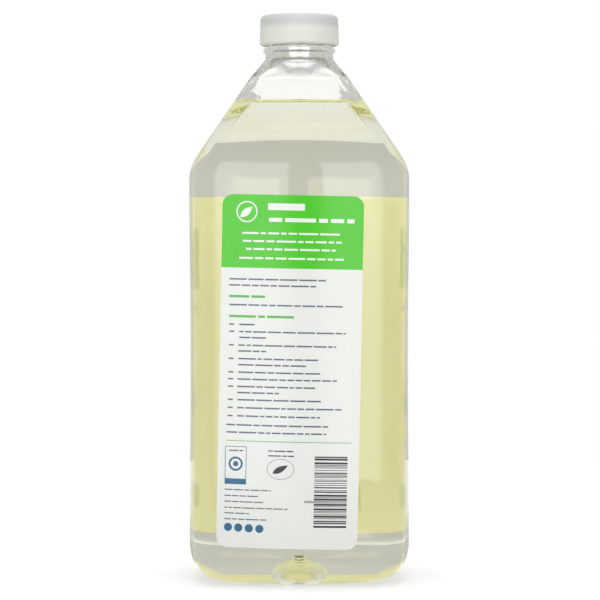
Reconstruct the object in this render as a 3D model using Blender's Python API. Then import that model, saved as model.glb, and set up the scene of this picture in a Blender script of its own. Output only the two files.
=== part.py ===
"""Hand soap refill pack: a clear blown bottle of soap, its screw cap and liner, and two film labels.

Metres, +Z up. The bottle stands on z = 0 with the neck's axis on Z. The back label
faces -Y and the front label faces +Y.
"""

import math

import bmesh
import bpy

# Blown body
BODY_WIDTH = 0.0855
BODY_DEPTH = 0.0750
WALL = 0.0006
CORNER_RADIUS = 0.0075
FACE_BOW_RADIUS = 0.130
SIDE_BOW_RADIUS = 0.200
WAIST_DEPTH = 0.0005
HEEL_RADIUS = 0.0135
HEEL_CORNER_RADIUS = 0.0090
LAND_WIDTH = 0.0030
PUSH_UP = 0.0055
GATE_RADIUS = 0.0016

# Sloping shoulder, from the body's top edge to the neck
SHOULDER_HEIGHT = 0.1595
SHOULDER_BLEND = 0.0050
CROWN_HEIGHT = 0.0078
CROWN_FLARE = 1.32
CROWN_CORNER_RADIUS = 0.0048
NECK_HEIGHT = 0.2013

# Neck and threaded finish
FINISH_DIAMETER = 0.0249
FINISH_WALL = 0.0016
RIM_ROUND = 0.0004
NECK_STEP = 0.00075
RING_REACH = 0.00075
RING_THICKNESS = 0.0017
RING_LIFT = 0.0027
THREAD_RISE = 0.00125
THREAD_PITCH = 0.004233
THREAD_TURNS = 1.25
THREAD_FOOT = 0.0022
THREAD_CREST = 0.0010
THREAD_DROP = 0.0024

# Screw cap and its liner
CAP_WALL = 0.00145
CAP_DRAFT = 0.0004
CAP_SKIRT = 0.0105
CAP_PANEL = 0.0013
CAP_TOP_ROUND = 0.0020
CAP_FOOT_ROUND = 0.0014
CAP_STANDOFF = 0.0010
CAP_THREAD_DEPTH = 0.0009
CAP_THREAD_FOOT = 0.0016
CAP_THREAD_CREST = 0.0007
CAP_THREAD_TURNS = 1.0
CAP_THREAD_LIFT = 0.0016
LINER_THICKNESS = 0.0008

# Clearances
FIT_GAP = 0.0003
THREAD_CLEARANCE = 0.0003
THREAD_ROOT_SINK = 0.0004

# Contents
HEADSPACE = 0.0183

# Labels, each placed by its margins on the flat of its face
LABEL_FILM = 0.0002
LABEL_CORNER_RADIUS = 0.0040
LABEL_FOOT_MARGIN = 0.0016
LABEL_HEAD_MARGIN = 0.0062
BACK_LABEL_LEFT_MARGIN = 0.0022
BACK_LABEL_RIGHT_MARGIN = 0.0092
BACK_LABEL_TILT_DEG = 1.15
FRONT_LABEL_MARGIN = 0.0008

# How finely curves are cut
HALF_FACE_STEPS = 3
CORNER_STEPS = 4
QUARTER_STEPS = 2 * HALF_FACE_STEPS + CORNER_STEPS
RING_STEPS = 4 * QUARTER_STEPS
HEEL_STEPS = 5
PANEL_STEPS = 4
BLEND_STEPS = 4
SLOPE_STEPS = 2
CROWN_STEPS = 5
PUSH_UP_STEPS = 5
ROUND_STEPS = 3
FADE_STEPS = 4
LABEL_COLUMNS = 8
LABEL_ROWS = 8
FADE_FLOOR = 0.1
SMOOTH_BELOW_DEG = 35

# Heights and radii that follow from the sizes above
FINISH_RADIUS = FINISH_DIAMETER / 2
BORE_RADIUS = FINISH_RADIUS - FINISH_WALL
NECK_RADIUS = FINISH_RADIUS + NECK_STEP
RING_RADIUS = NECK_RADIUS + RING_REACH
THREAD_RADIUS = FINISH_RADIUS + THREAD_RISE
CROWN_BASE = NECK_HEIGHT - CROWN_HEIGHT
RING_BASE = NECK_HEIGHT + RING_LIFT
RING_TOP = RING_BASE + RING_THICKNESS
CAP_BASE = RING_TOP + CAP_STANDOFF
LINER_TOP = CAP_BASE + CAP_SKIRT - FIT_GAP
LINER_BASE = LINER_TOP - LINER_THICKNESS
RIM_HEIGHT = LINER_BASE - FIT_GAP
THREAD_BASE = RIM_HEIGHT - THREAD_DROP - THREAD_PITCH * THREAD_TURNS
CAP_BORE_RADIUS = THREAD_RADIUS + THREAD_CLEARANCE
CAP_RADIUS = CAP_BORE_RADIUS + CAP_WALL
FILL_HEIGHT = NECK_HEIGHT - HEADSPACE
PANEL_TOP = SHOULDER_HEIGHT - SHOULDER_BLEND


def level(height, half_width, half_depth, corner, squareness=1.0):
    """One cross-section: squareness 0 is a circle, 1 the bowed rectangle with round corners."""
    return (height, half_width, half_depth, corner, squareness)


def round_level(height, radius):
    """A circular cross-section."""
    return level(height, radius, radius, radius, 0.0)


def quarter_outline(half_width, half_depth, corner):
    """From the middle of the +X side, round one corner, to the middle of the +Y side."""
    shares = [step / HALF_FACE_STEPS for step in range(1, HALF_FACE_STEPS + 1)]
    points = [(half_width, 0.0)]
    points += [(half_width, (half_depth - corner) * share) for share in shares]
    for step in range(1, CORNER_STEPS):
        turn = math.radians(90) * step / CORNER_STEPS
        points.append((half_width - corner + corner * math.cos(turn),
                       half_depth - corner + corner * math.sin(turn)))
    points += [((half_width - corner) * share, half_depth) for share in reversed(shares)]
    points.append((0.0, half_depth))
    return points


def bowed(x, y, half_width, half_depth):
    """Bow the four sides outwards, with the middles of the sides left where they are."""
    return (x - x / half_width * y * y / (2 * SIDE_BOW_RADIUS),
            y - y / half_depth * x * x / (2 * FACE_BOW_RADIUS))


def outline(section):
    """The whole closed outline of a cross-section, anticlockwise from +X."""
    height, half_width, half_depth, corner, squareness = section
    quarter = []
    for step, (x, y) in enumerate(quarter_outline(half_width, half_depth, corner)):
        turn = math.radians(90) * step / QUARTER_STEPS
        x, y = bowed(x, y, half_width, half_depth)
        quarter.append((squareness * x + (1 - squareness) * half_width * math.cos(turn),
                        squareness * y + (1 - squareness) * half_depth * math.sin(turn)))
    half = quarter[:-1] + [(-x, y) for x, y in reversed(quarter)]
    whole = half[:-1] + [(x, -y) for x, y in reversed(half)]
    return [(x, y, height) for x, y in whole[:-1]]


def waist(height):
    """How far the sides are drawn in between the heel and the shoulder."""
    return WAIST_DEPTH * math.sin(math.pi * (height - HEEL_RADIUS) / (PANEL_TOP - HEEL_RADIUS)) ** 2


def half_size(height, body_half):
    """Half of the width or depth of the outside, from the top of the heel to the neck."""
    blend_end = SHOULDER_HEIGHT + SHOULDER_BLEND
    run = CROWN_BASE - SHOULDER_HEIGHT + CROWN_HEIGHT * (1 + CROWN_FLARE) / 2
    slope = (body_half - NECK_RADIUS) / run
    if height <= PANEL_TOP:
        return body_half - waist(height)
    if height < blend_end:
        return body_half - slope * (height - PANEL_TOP) ** 2 / (4 * SHOULDER_BLEND)
    if height <= CROWN_BASE:
        return body_half - slope * (height - SHOULDER_HEIGHT)
    below = NECK_HEIGHT - height
    flare = CROWN_FLARE * slope * below
    easing = (CROWN_FLARE - 1) * slope * below ** 2 / (2 * CROWN_HEIGHT)
    return NECK_RADIUS + flare - easing


def steps_between(start, end, count):
    """Evenly spaced values after start, up to and including end."""
    return [start + (end - start) * step / count for step in range(1, count + 1)]


def base_levels(inset):
    """From the gate at the middle of the base out over the push-up to the standing land."""
    land_width = BODY_WIDTH / 2 - HEEL_RADIUS - LAND_WIDTH
    land_depth = BODY_DEPTH / 2 - HEEL_RADIUS - LAND_WIDTH
    land_corner = HEEL_CORNER_RADIUS - LAND_WIDTH
    levels = [round_level(inset + PUSH_UP, GATE_RADIUS)]
    for share in steps_between(0.0, 1.0, PUSH_UP_STEPS):
        rise = PUSH_UP * math.cos(math.pi / 2 * share) ** 2
        levels.append(level(inset + rise,
                            GATE_RADIUS + (land_width - GATE_RADIUS) * share,
                            GATE_RADIUS + (land_depth - GATE_RADIUS) * share,
                            GATE_RADIUS + (land_corner - GATE_RADIUS) * share,
                            share))
    return levels


def heel_levels(inset):
    """The rounded edge between the standing land and the upright sides."""
    radius = HEEL_RADIUS - inset
    levels = []
    for share in [step / HEEL_STEPS for step in range(HEEL_STEPS)]:
        turn = math.radians(90) * share
        pull = inset + radius * (1 - math.sin(turn))
        corner = HEEL_CORNER_RADIUS + (CORNER_RADIUS - HEEL_CORNER_RADIUS) * share - inset
        levels.append(level(HEEL_RADIUS - radius * math.cos(turn),
                            BODY_WIDTH / 2 - pull,
                            BODY_DEPTH / 2 - pull,
                            corner))
    return levels


def side_level(height, inset):
    """A cross-section of the sides or the shoulder."""
    rise = max(0.0, (height - SHOULDER_HEIGHT) / (CROWN_BASE - SHOULDER_HEIGHT))
    corner = CORNER_RADIUS + (CROWN_CORNER_RADIUS - CORNER_RADIUS) * rise
    return level(height,
                 half_size(height, BODY_WIDTH / 2) - inset,
                 half_size(height, BODY_DEPTH / 2) - inset,
                 corner - inset)


def side_levels(inset):
    """The upright sides and the straight part of the shoulder, up to the crown."""
    blend_end = SHOULDER_HEIGHT + SHOULDER_BLEND
    heights = [HEEL_RADIUS]
    heights += steps_between(HEEL_RADIUS, PANEL_TOP, PANEL_STEPS)
    heights += steps_between(PANEL_TOP, blend_end, BLEND_STEPS)
    heights += steps_between(blend_end, CROWN_BASE, SLOPE_STEPS)
    return [side_level(height, inset) for height in heights]


def crown_levels(inset, neck_inset):
    """The flare that turns the squared shoulder into the round neck."""
    levels = []
    for share in steps_between(0.0, 1.0, CROWN_STEPS):
        height = CROWN_BASE + CROWN_HEIGHT * share
        wall = inset + (neck_inset - inset) * share
        half_width = half_size(height, BODY_WIDTH / 2) - wall
        half_depth = half_size(height, BODY_DEPTH / 2) - wall
        corner = CROWN_CORNER_RADIUS + (NECK_RADIUS - CROWN_CORNER_RADIUS) * share - wall
        levels.append(level(height, half_width, half_depth, corner, 1 - share ** 2))
    return levels


def finish_levels():
    """Neck, carrying ring and threaded finish, up over the rim and down the bore."""
    rim_outer = FINISH_RADIUS - RIM_ROUND
    rim_inner = BORE_RADIUS + RIM_ROUND
    return [round_level(RING_BASE, NECK_RADIUS),
            round_level(RING_BASE, RING_RADIUS),
            round_level(RING_TOP, RING_RADIUS),
            round_level(RING_TOP, FINISH_RADIUS),
            round_level(RIM_HEIGHT - RIM_ROUND, FINISH_RADIUS),
            round_level(RIM_HEIGHT, rim_outer),
            round_level(RIM_HEIGHT, rim_inner),
            round_level(RIM_HEIGHT - RIM_ROUND, BORE_RADIUS)]


def loft(name, sections):
    """A closed solid over cross-sections in order, each joined to the next."""
    shape = bmesh.new()
    rings = [[shape.verts.new(point) for point in outline(section)] for section in sections]
    for ring, following in zip(rings, rings[1:]):
        for step in range(RING_STEPS):
            after = (step + 1) % RING_STEPS
            shape.faces.new((ring[step], ring[after], following[after], following[step]))
    shape.faces.new(reversed(rings[0]))
    shape.faces.new(rings[-1])
    return finished(name, shape)


def finished(name, shape):
    """Turn a bmesh into an object, smooth but for its real edges."""
    bmesh.ops.recalc_face_normals(shape, faces=shape.faces)
    mesh = bpy.data.meshes.new(name)
    shape.to_mesh(mesh)
    shape.free()
    mesh.shade_smooth()
    mesh.set_sharp_from_angle(angle=math.radians(SMOOTH_BELOW_DEG))
    thing = bpy.data.objects.new(name, mesh)
    bpy.context.scene.collection.objects.link(thing)
    return thing


def helix_ridge(name, root, crest, foot_width, crest_width, base, turns, start_turn):
    """A thread that runs up a wall, from root, inside the wall, to crest, and fades at both ends."""
    steps = round(turns * RING_STEPS)
    shape = bmesh.new()
    profiles = []
    for step in range(steps + 1):
        turned = step / RING_STEPS
        angle = 2 * math.pi * (start_turn + turned)
        middle = base + THREAD_PITCH * turned
        fade = max(FADE_FLOOR, min(1.0, step / FADE_STEPS, (steps - step) / FADE_STEPS))
        tip = root + (crest - root) * fade
        corners = [(root, -foot_width / 2), (tip, -crest_width / 2),
                   (tip, crest_width / 2), (root, foot_width / 2)]
        profiles.append([shape.verts.new((reach * math.cos(angle), reach * math.sin(angle), middle + rise))
                         for reach, rise in corners])
    for profile, following in zip(profiles, profiles[1:]):
        for corner in range(4):
            after = (corner + 1) % 4
            shape.faces.new((profile[corner], profile[after], following[after], following[corner]))
    shape.faces.new(reversed(profiles[0]))
    shape.faces.new(profiles[-1])
    ridge = finished(name, shape)
    ridge.hide_render = True
    ridge.display_type = 'WIRE'
    return ridge


def fuse(thing, ridge):
    """Join a thread to the wall that it stands on."""
    union = thing.modifiers.new("thread", 'BOOLEAN')
    union.operation = 'UNION'
    union.solver = 'EXACT'
    union.object = ridge


def plastic(name, colour, roughness, transmission=0.0, ior=1.5):
    """A plain Principled material."""
    material = bpy.data.materials.new(name)
    material.use_nodes = True
    shader = material.node_tree.nodes["Principled BSDF"]
    shader.inputs["Base Color"].default_value = (*colour, 1.0)
    shader.inputs["Roughness"].default_value = roughness
    shader.inputs["Metallic"].default_value = 0.0
    shader.inputs["Transmission Weight"].default_value = transmission
    shader.inputs["IOR"].default_value = ior
    return material


def make_bottle():
    """The blown body with its neck, as one open shell."""
    outside = base_levels(0.0) + heel_levels(0.0) + side_levels(0.0) + crown_levels(0.0, 0.0)
    neck_wall = NECK_RADIUS - BORE_RADIUS
    inside = base_levels(WALL) + heel_levels(WALL) + side_levels(WALL) + crown_levels(WALL, neck_wall)
    bottle = loft("bottle", outside + finish_levels() + list(reversed(inside)))
    fuse(bottle, helix_ridge("neck_thread_guide",
                             FINISH_RADIUS - THREAD_ROOT_SINK, THREAD_RADIUS,
                             THREAD_FOOT, THREAD_CREST,
                             THREAD_BASE, THREAD_TURNS, 0.0))
    bottle.data.materials.append(plastic("clear_bottle", (0.96, 0.97, 0.96), 0.04, 1.0, 1.57))
    return bottle


def thread_spacing():
    """Height from the middle of the neck's thread down to the middle of the cap's, when closed."""
    crest_radius = CAP_BORE_RADIUS - CAP_THREAD_DEPTH
    share = (crest_radius - FINISH_RADIUS) / THREAD_RISE
    neck_half = (THREAD_FOOT + (THREAD_CREST - THREAD_FOOT) * share) / 2
    cap_share = THREAD_CLEARANCE / CAP_THREAD_DEPTH
    cap_half = (CAP_THREAD_FOOT + (CAP_THREAD_CREST - CAP_THREAD_FOOT) * cap_share) / 2
    inner = neck_half + CAP_THREAD_CREST / 2
    outer = THREAD_CREST / 2 + cap_half
    return max(inner, outer) + THREAD_CLEARANCE


def quarter_turns():
    """The angles of a rounded edge, from 0 to 90 degrees."""
    return [math.radians(90) * step / ROUND_STEPS for step in range(ROUND_STEPS + 1)]


def make_cap():
    """The smooth cap, turned about Z, with its thread inside. Its origin is at its mouth."""
    top = CAP_SKIRT + CAP_PANEL
    bore = [round_level(CAP_SKIRT, CAP_BORE_RADIUS),
            round_level(THREAD_CLEARANCE, CAP_BORE_RADIUS),
            round_level(0.0, CAP_BORE_RADIUS + THREAD_CLEARANCE)]
    foot = [round_level(CAP_FOOT_ROUND * (1 - math.cos(turn)),
                        CAP_RADIUS - CAP_FOOT_ROUND * (1 - math.sin(turn))) for turn in quarter_turns()]
    edge = [round_level(top - CAP_TOP_ROUND * (1 - math.sin(turn)),
                        CAP_RADIUS - CAP_DRAFT - CAP_TOP_ROUND * (1 - math.cos(turn)))
            for turn in quarter_turns()]
    cap = loft("cap", bore + foot + edge)
    turned = (CAP_BASE + CAP_THREAD_LIFT + thread_spacing() - THREAD_BASE) / THREAD_PITCH
    ridge = helix_ridge("cap_thread_guide",
                        CAP_BORE_RADIUS + THREAD_ROOT_SINK, CAP_BORE_RADIUS - CAP_THREAD_DEPTH,
                        CAP_THREAD_FOOT, CAP_THREAD_CREST,
                        CAP_THREAD_LIFT, CAP_THREAD_TURNS, turned)
    for piece in (cap, ridge):
        piece.location = (0.0, 0.0, CAP_BASE)
    fuse(cap, ridge)
    cap.data.materials.append(plastic("natural_cap", (0.80, 0.81, 0.77), 0.35))
    return cap


def make_liner():
    """The foam disc that seals the rim, loose in the top of the cap."""
    radius = CAP_BORE_RADIUS - FIT_GAP
    liner = loft("cap_liner", [round_level(0.0, radius), round_level(LINER_THICKNESS, radius)])
    liner.location = (0.0, 0.0, LINER_BASE)
    liner.data.materials.append(plastic("liner_foam", (0.90, 0.90, 0.88), 0.80))
    return liner


def make_soap():
    """The liquid, clear of the bottle's wall by the fitting gap, with a level top."""
    inset = WALL + FIT_GAP
    levels = base_levels(inset) + heel_levels(inset)
    levels += [section for section in side_levels(inset) if section[0] < FILL_HEIGHT]
    levels.append(side_level(FILL_HEIGHT, inset))
    soap = loft("soap", levels)
    soap.data.materials.append(plastic("pale_soap", (0.90, 0.87, 0.62), 0.02, 1.0, 1.35))
    return soap


def side_pull(half_width, half_depth):
    """The share by which the bow of the sides narrows the front and back faces."""
    return half_depth ** 2 / (2 * SIDE_BOW_RADIUS * half_width)


def panel_reach(x, height):
    """Distance of the bowed front or back face from the middle plane."""
    half_width = half_size(height, BODY_WIDTH / 2)
    half_depth = half_size(height, BODY_DEPTH / 2)
    straight = x / (1 - side_pull(half_width, half_depth))
    return half_depth - straight ** 2 / (2 * FACE_BOW_RADIUS)


def label_rows(height):
    """Distances down a label from its middle, closer together at its round corners."""
    rows = []
    for step in range(CORNER_STEPS + 1):
        turn = math.radians(90) * step / CORNER_STEPS
        pull = LABEL_CORNER_RADIUS * (1 - math.cos(turn))
        rows.append((height / 2 - LABEL_CORNER_RADIUS * (1 - math.sin(turn)), pull))
    straight = height / 2 - LABEL_CORNER_RADIUS
    middle = [(v, 0.0) for v in steps_between(-straight, straight, LABEL_ROWS)[:-1]]
    bottom = [(-v, pull) for v, pull in reversed(rows)]
    return bottom + middle + rows


def make_label(name, side, left_margin, right_margin, tilt_deg):
    """A thin film with round corners that follows the bowed face. side is -1 at the back, 1 in front."""
    face_half = (BODY_WIDTH / 2 - CORNER_RADIUS) * (1 - side_pull(BODY_WIDTH / 2, BODY_DEPTH / 2))
    width = 2 * face_half - left_margin - right_margin
    height = PANEL_TOP - LABEL_HEAD_MARGIN - HEEL_RADIUS - LABEL_FOOT_MARGIN
    middle_x = (left_margin - right_margin) / 2
    middle_z = HEEL_RADIUS + LABEL_FOOT_MARGIN + height / 2
    tilt = math.radians(tilt_deg)
    shape = bmesh.new()
    sheets = []
    for lift in (FIT_GAP, FIT_GAP + LABEL_FILM):
        grid = []
        for v, pull in label_rows(height):
            row = []
            for column in range(LABEL_COLUMNS + 1):
                u = (width / 2 - pull) * (2 * column / LABEL_COLUMNS - 1)
                x = middle_x + u * math.cos(tilt) + v * math.sin(tilt)
                z = middle_z + v * math.cos(tilt) - u * math.sin(tilt)
                row.append(shape.verts.new((x, side * (panel_reach(x, z) + lift), z)))
            grid.append(row)
        sheets.append(grid)
    for grid in sheets:
        for row, following in zip(grid, grid[1:]):
            for column in range(LABEL_COLUMNS):
                shape.faces.new((row[column], row[column + 1], following[column + 1], following[column]))
    inner, outer = [edge_loop(grid) for grid in sheets]
    for step in range(len(inner)):
        after = (step + 1) % len(inner)
        shape.faces.new((inner[step], inner[after], outer[after], outer[step]))
    label = finished(name, shape)
    label.data.materials.append(plastic(name + "_film", (0.83, 0.84, 0.82), 0.40))
    return label


def edge_loop(grid):
    """The vertices round the edge of a grid, in order."""
    right = [row[-1] for row in grid[1:-1]]
    left = [row[0] for row in grid[1:-1]]
    return grid[0] + right + list(reversed(grid[-1])) + list(reversed(left))


def main():
    for thing in list(bpy.data.objects):
        bpy.data.objects.remove(thing, do_unlink=True)
    make_bottle()
    make_cap()
    make_liner()
    make_soap()
    make_label("back_label", -1, BACK_LABEL_LEFT_MARGIN, BACK_LABEL_RIGHT_MARGIN, BACK_LABEL_TILT_DEG)
    make_label("front_label", 1, FRONT_LABEL_MARGIN, FRONT_LABEL_MARGIN, 0.0)


main()
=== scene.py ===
"""Looks of the hand soap refill pack: clear bottle, soap, natural cap, liner and two printed film labels.

Metres, +Z up, in the frame of the solids. The back label faces -Y, towards the camera.
"""

import math
import random

import bpy
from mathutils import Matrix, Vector


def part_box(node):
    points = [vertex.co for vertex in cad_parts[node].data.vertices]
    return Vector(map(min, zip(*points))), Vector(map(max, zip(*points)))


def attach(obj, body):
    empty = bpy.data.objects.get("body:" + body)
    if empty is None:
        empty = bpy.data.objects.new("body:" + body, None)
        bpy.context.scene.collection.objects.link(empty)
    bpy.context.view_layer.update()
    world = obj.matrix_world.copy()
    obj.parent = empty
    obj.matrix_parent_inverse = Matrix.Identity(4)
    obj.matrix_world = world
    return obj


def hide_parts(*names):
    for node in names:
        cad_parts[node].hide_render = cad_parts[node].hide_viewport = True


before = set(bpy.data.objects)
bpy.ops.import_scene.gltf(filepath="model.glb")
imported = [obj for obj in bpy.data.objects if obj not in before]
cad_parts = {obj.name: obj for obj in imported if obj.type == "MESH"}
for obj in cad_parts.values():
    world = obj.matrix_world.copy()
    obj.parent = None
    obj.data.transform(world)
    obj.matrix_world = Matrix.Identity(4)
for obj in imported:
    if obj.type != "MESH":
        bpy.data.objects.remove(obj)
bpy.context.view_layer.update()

BOTTLE_LOW, BOTTLE_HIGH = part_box("bottle")
CAP_LOW, CAP_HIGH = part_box("cap")

# Sizes read from the solids
BODY_WIDTH = BOTTLE_HIGH.x - BOTTLE_LOW.x
BODY_DEPTH = BOTTLE_HIGH.y - BOTTLE_LOW.y
RIM_HEIGHT = BOTTLE_HIGH.z
CAP_BASE = CAP_LOW.z
CAP_TOP = CAP_HIGH.z
CAP_RADIUS = (CAP_HIGH.x - CAP_LOW.x) / 2
FILL_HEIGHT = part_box("soap")[1].z

# Blown body, as in the solids
WALL = 0.0006
CORNER_RADIUS = 0.0075
FACE_BOW_RADIUS = 0.130
SIDE_BOW_RADIUS = 0.200
WAIST_DEPTH = 0.0005
HEEL_RADIUS = 0.0135
HEEL_CORNER_RADIUS = 0.0090
LAND_WIDTH = 0.0030
SHOULDER_HEIGHT = 0.1595
SHOULDER_BLEND = 0.0050
CROWN_HEIGHT = 0.0078
CROWN_FLARE = 1.32
CROWN_CORNER_RADIUS = 0.0048
NECK_HEIGHT = 0.2013
NECK_FILLET = 0.0009
PANEL_TOP = SHOULDER_HEIGHT - SHOULDER_BLEND
CROWN_BASE = NECK_HEIGHT - CROWN_HEIGHT
SLOPE_RUN = CROWN_BASE - SHOULDER_HEIGHT + CROWN_HEIGHT * (1 + CROWN_FLARE) / 2

# Base: a shelf and a small dome on it, where the solid has one plain push-up
PUSH_UP_SHELF = 0.0049
PUSH_UP_DOME = 0.0045
DOME_RADIUS = 0.0175
DOME_FLATNESS = 0.9

# The gate's spot, from its middle out: shares of its radius and of its nub's height
GATE_RADIUS = 0.0016
GATE_NUB = 0.0004
GATE_PROFILE = [(0.05, 1.0), (0.4, 1.0), (0.75, 1.0), (0.9, 0.8)]

# Flat facets on the shoulder's corners: how far they cut in, and the height where they start to fade out
FACET_CUT = 0.0096
FACET_FADE = 0.1840

# Neck and finish, as in the solids
FINISH_RADIUS = 0.01245
BORE_RADIUS = 0.01085
NECK_RADIUS = 0.0132
RING_RADIUS = 0.01395
RING_BASE = 0.2040
RING_TOP = 0.2057
THREAD_RISE = 0.00125
THREAD_PITCH = 0.004233
THREAD_TURNS = 1.25
THREAD_FOOT = 0.0022
THREAD_CREST = 0.0010
THREAD_DROP = 0.0024
THREAD_FADE = 0.08
THREAD_BASE = RIM_HEIGHT - THREAD_DROP - THREAD_PITCH * THREAD_TURNS
THREAD_TOP = RIM_HEIGHT - THREAD_DROP + THREAD_FOOT / 2

# Cap, as in the solids, with a small disc that closes the middle of its panel
CAP_PANEL = 0.0013
CAP_DRAFT = 0.0004
CAP_TOP_ROUND = 0.0020
CAP_FOOT_ROUND = 0.0014
CAP_BORE_RADIUS = 0.0140
CAP_THREAD_DEPTH = 0.0009
CAP_THREAD_FOOT = 0.0016
CAP_THREAD_CREST = 0.0007
CAP_THREAD_TURNS = 1.0
CAP_THREAD_LIFT = 0.0016
CAP_THREAD_SPACING = 0.00145
CAP_THREAD_RUNOUT = 0.0001
CAP_MIDDLE = 0.0005

# Soap, and the rim of it that climbs the wall, which leans as given at the wall and at the rim's foot
SOAP_GAP = 0.00005
MENISCUS_RISE = 0.0019
MENISCUS_LEAN_DEG = (36, 21)
MENISCUS_FOOT = 0.0001
MENISCUS_STEPS = 8
LEVEL_RINGS = (0.8, 0.55, 0.3, 0.02)
LEVEL_SLACK = 0.000001

# Labels, placed as in the solids, with a film that is thinner
LABEL_CORNER_RADIUS = 0.0040
LABEL_FOOT_MARGIN = 0.0016
LABEL_HEAD_MARGIN = 0.0062
BACK_LEFT_MARGIN = 0.0022
BACK_RIGHT_MARGIN = 0.0092
BACK_TILT_DEG = 1.15
FRONT_MARGIN = 0.0008
FILM_BACK = 0.00008
FILM_FACE = 0.00026
INK_LIFT = 0.00004

# How finely the surfaces are cut
HALF_FACE_STEPS = 16
CORNER_STEPS = 16
QUARTER_STEPS = 2 * HALF_FACE_STEPS + CORNER_STEPS
RING_STEPS = 4 * QUARTER_STEPS
DOME_STEPS = 16
PUSH_UP_STEPS = 20
HEEL_STEPS = 16
PANEL_STEPS = 28
BLEND_STEPS = 12
SLOPE_STEPS = 12
CROWN_STEPS = 20
FINISH_STEPS = 56
ROUND_STEPS = 6
LABEL_COLUMNS = 24
LABEL_CORNER_STEPS = 8

# Edges sharper than this are drawn as edges
SHARP_SOAP_EDGE_DEG = 50
SHARP_FILM_EDGE_DEG = 40

# Light crosses at least eight surfaces in the full bottle, and many more inside its corners
GLASS_BOUNCES = 80

# Camera, from the photograph's frame of 600 pixels
FRAME_PIXELS = 600
METRES_PER_PIXEL = 0.00039
CAMERA_DISTANCE = 1.0
CAMERA_HEIGHT = 0.1352
CAMERA_NEAREST = 0.05
HORIZON_PIXEL = 230
AXIS_PIXEL = 299.3
SENSOR = 36.0


# Shader helpers

class Wire:
    """A number that varies over a surface. Arithmetic on it adds Math nodes."""

    def __init__(self, tree, socket):
        self.tree = tree
        self.socket = socket

    def math(self, operation, *values):
        """A Math node on all the values given, this wire among them."""
        node = self.tree.nodes.new("ShaderNodeMath")
        node.operation = operation
        for slot, value in zip(node.inputs, values):
            plug(self.tree, value, slot)
        return Wire(self.tree, node.outputs[0])

    def __add__(self, other):
        return self.math('ADD', self, other)

    def __radd__(self, other):
        return self.math('ADD', other, self)

    def __sub__(self, other):
        return self.math('SUBTRACT', self, other)

    def __rsub__(self, other):
        return self.math('SUBTRACT', other, self)

    def __mul__(self, other):
        return self.math('MULTIPLY', self, other)

    def __rmul__(self, other):
        return self.math('MULTIPLY', other, self)

    def __abs__(self):
        return self.math('ABSOLUTE', self)


def plug(tree, value, slot):
    """Link a wire, or set a plain value."""
    if isinstance(value, Wire):
        tree.links.new(value.socket, slot)
    else:
        slot.default_value = value


class Finish:
    """One material, or the world, with its nodes."""

    def __init__(self, owner):
        owner.use_nodes = True
        self.owner = owner
        self.tree = owner.node_tree
        self.tree.nodes.clear()

    def node(self, kind, settings=None, sockets=None, output=0):
        """Add a node: its settings first, then its sockets by name or number. Gives one output."""
        made = self.tree.nodes.new(kind)
        for name, value in (settings or {}).items():
            setattr(made, name, value)
        for name, value in (sockets or {}).items():
            plug(self.tree, value, made.inputs[name])
        return Wire(self.tree, made.outputs[output]) if made.outputs else None

    def place(self):
        """Position on the object, in metres."""
        return self.node("ShaderNodeTexCoord", output="Object")

    def axis(self, where, letter):
        """One part of a position or direction."""
        return self.node("ShaderNodeSeparateXYZ", {}, {0: where}, letter)

    def ray(self, kind):
        """1 where the light path is of this kind, else 0."""
        return self.node("ShaderNodeLightPath", output=kind)

    def noise(self, scale, detail=2.0, roughness=0.5, where=None):
        """Smooth noise from 0 to 1, at so many bumps a metre."""
        return self.node("ShaderNodeTexNoise", {}, {"Vector": where or self.place(), "Scale": scale,
                                                    "Detail": detail, "Roughness": roughness}, "Fac")

    def stretch(self, where, factors):
        """Scale a position along each axis."""
        return self.node("ShaderNodeVectorMath", {"operation": 'MULTIPLY'}, {0: where, 1: factors})

    def ramp(self, value, low, high):
        """0 below low, 1 above high, smooth between."""
        return self.node("ShaderNodeMapRange", {"interpolation_type": 'SMOOTHSTEP'},
                         {"Value": value, "From Min": low, "From Max": high})

    def mix(self, factor, first, second):
        """Blend two colours."""
        return self.node("ShaderNodeMix", {"data_type": 'RGBA'},
                         {"Factor": factor, 6: first, 7: second}, 2)

    def bump(self, height, strength, distance):
        """A normal from a height, at most so many metres deep."""
        return self.node("ShaderNodeBump", {},
                         {"Strength": strength, "Distance": distance, "Height": height})

    def shader(self, sockets):
        return self.node("ShaderNodeBsdfPrincipled", {}, sockets)

    def surface(self, sockets):
        """The Principled shader, sent to the output."""
        self.node("ShaderNodeOutputMaterial", {}, {"Surface": self.shader(sockets)})


def finish_of(name):
    return Finish(bpy.data.materials.new(name))


def colour(red, green, blue):
    """A colour given as it shows on a screen, 0 to 255."""
    def linear(value):
        share = value / 255
        return share / 12.92 if share <= 0.04045 else ((share + 0.055) / 1.055) ** 2.4
    return (linear(red), linear(green), linear(blue), 1.0)


def grey(level):
    """A grey given as the share of light that it sends back or out."""
    return (level, level, level, 1.0)


def darkened(tone, share):
    return tuple(value * (1 - share) for value in tone[:3]) + (1.0,)


# Finishes

PET_IOR = 1.57
SOAP_IOR = 1.42
SOAP_TINT = (0.91, 0.875, 0.0, 1.0)
SOAP_DENSITY = 2.8
# Strength of the painted glow the cap gives off in its own tone, standing in for light passing through the
# milky plastic
CAP_PAINTED_GLOW = 0.11
# Depths below the cap's top where the painted shade of the liner behind the wall starts and ends, and how
# far its edge wanders
LINER_SHOWS = (0.0052, 0.0026)
LINER_WANDER = 0.0012


def clear_plastic(name, ior, ripple=0.25):
    """Blown clear plastic, with the slight waviness of a blown wall."""
    made = finish_of(name)
    waves = made.noise(55.0, 1.0, 0.4)
    fine = made.noise(420.0)
    height = waves + fine * 0.06
    made.surface({"Base Color": (0.985, 0.99, 0.985, 1.0), "Roughness": 0.012, "IOR": ior,
                  "Transmission Weight": 1.0, "Normal": made.bump(height, ripple, 0.0004)})
    return made.owner


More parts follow.
